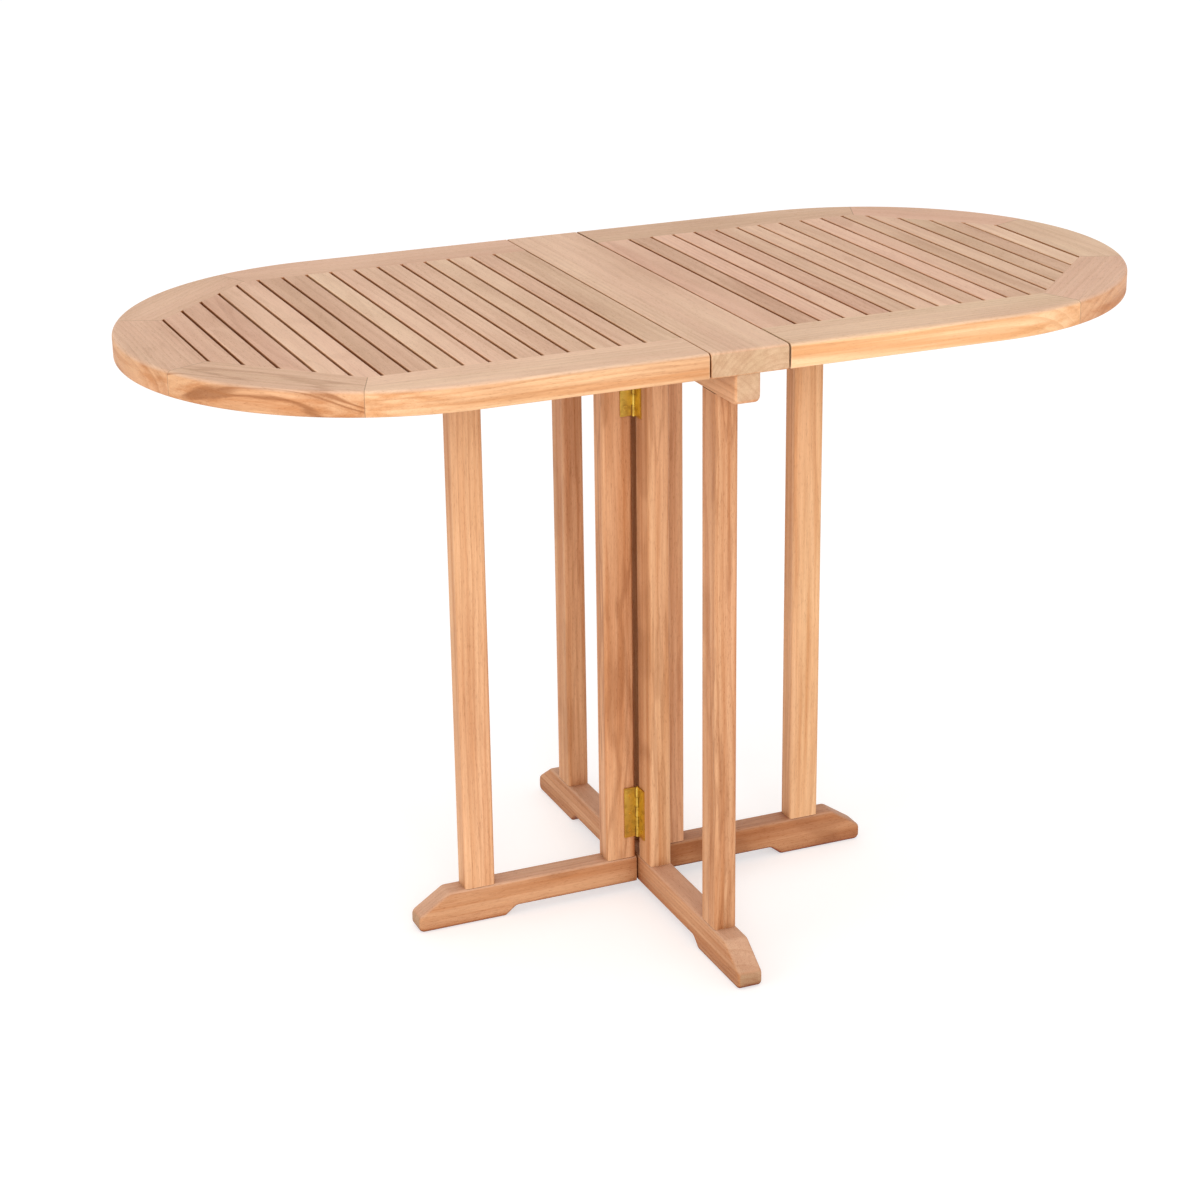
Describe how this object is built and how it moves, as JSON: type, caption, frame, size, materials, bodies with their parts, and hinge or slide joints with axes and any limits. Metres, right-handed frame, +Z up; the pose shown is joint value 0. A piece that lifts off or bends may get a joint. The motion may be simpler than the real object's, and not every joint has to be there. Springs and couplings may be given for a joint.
{
  "type": "gateleg table",
  "caption": "Round-ended wooden gateleg table: slatted leaves hinged to a narrow centre board, held up by swinging gates on a fixed trestle frame.",
  "frame": {"origin": "on the floor under the middle of the table", "axes": "+X along the length of the top, towards the right-hand leaf; +Y towards the back, along the centre board; +Z up"},
  "size_m": [1.2, 0.61, 0.75],
  "materials": {
    "teak_top": "fine-sanded pale teak, matt",
    "teak_slat": "fine-sanded pale teak, matt, tone varies from slat to slat",
    "teak_base": "fine-sanded teak with a light oil, matt",
    "brass": "brass-plated, slightly dull",
    "steel_screw": "zinc-plated screws"
  },
  "bodies": {
    "centre_frame": {"back_inner_post": "teak_base", "back_outer_post": "teak_base", "board_hinge_screws": "brass", "board_screws": "steel_screw", "centre_board": "teak_top", "centre_foot_rail": "teak_base", "centre_top_rail": "teak_base", "front_inner_post": "teak_base", "front_outer_post": "teak_base", "gate_hinge_pins": "brass", "leaf_hinge_pins": "brass", "left_board_hinge_plates": "brass", "left_lower_post_hinge_plate": "brass", "left_upper_post_hinge_plate": "brass", "post_hinge_screws": "brass", "right_board_hinge_plates": "brass", "right_lower_post_hinge_plate": "brass", "right_upper_post_hinge_plate": "brass"},
    "left_gate": {"left_gate_foot_rail": "teak_base", "left_gate_hinge_plates": "brass", "left_gate_hinge_screws": "brass", "left_gate_inner_post": "teak_base", "left_gate_outer_post": "teak_base", "left_gate_top_rail": "teak_base"},
    "left_leaf": {"left_leaf_back_corner": "teak_top", "left_leaf_back_rail": "teak_top", "left_leaf_batten": "teak_top", "left_leaf_cut_slats": "teak_slat", "left_leaf_end_rail": "teak_top", "left_leaf_front_corner": "teak_top", "left_leaf_front_rail": "teak_top", "left_leaf_hinge_plates": "brass", "left_leaf_hinge_screws": "brass", "left_leaf_inner_stile": "teak_top", "left_leaf_long_slats": "teak_slat", "left_leaf_mitre_dowels": "teak_top", "left_leaf_stop_block": "teak_top", "left_leaf_wood_screws": "steel_screw"},
    "right_gate": {"right_gate_foot_rail": "teak_base", "right_gate_hinge_plates": "brass", "right_gate_hinge_screws": "brass", "right_gate_inner_post": "teak_base", "right_gate_outer_post": "teak_base", "right_gate_top_rail": "teak_base"},
    "right_leaf": {"right_leaf_back_corner": "teak_top", "right_leaf_back_rail": "teak_top", "right_leaf_batten": "teak_top", "right_leaf_cut_slats": "teak_slat", "right_leaf_end_rail": "teak_top", "right_leaf_front_corner": "teak_top", "right_leaf_front_rail": "teak_top", "right_leaf_hinge_plates": "brass", "right_leaf_hinge_screws": "brass", "right_leaf_inner_stile": "teak_top", "right_leaf_long_slats": "teak_slat", "right_leaf_mitre_dowels": "teak_top", "right_leaf_stop_block": "teak_top", "right_leaf_wood_screws": "steel_screw"}
  },
  "joints": [
    {"name": "left_gate_swing", "type": "hinge", "parent": "centre_frame", "child": "left_gate", "pos_m": [-0.016, -0.0235, 0], "axis": [0, 0, 1], "range_deg": [0, 90]},
    {"name": "right_gate_swing", "type": "hinge", "parent": "centre_frame", "child": "right_gate", "pos_m": [0.016, 0.0235, 0], "axis": [0, 0, 1], "range_deg": [0, 90]},
    {"name": "left_leaf_lift", "type": "hinge", "parent": "centre_frame", "child": "left_leaf", "pos_m": [-0.0465, 0, 0.7195], "axis": [0, 1, 0], "range_deg": [0, 3]},
    {"name": "right_leaf_lift", "type": "hinge", "parent": "centre_frame", "child": "right_leaf", "pos_m": [0.0465, 0, 0.7195], "axis": [0, -1, 0], "range_deg": [0, 3]}
  ]
}
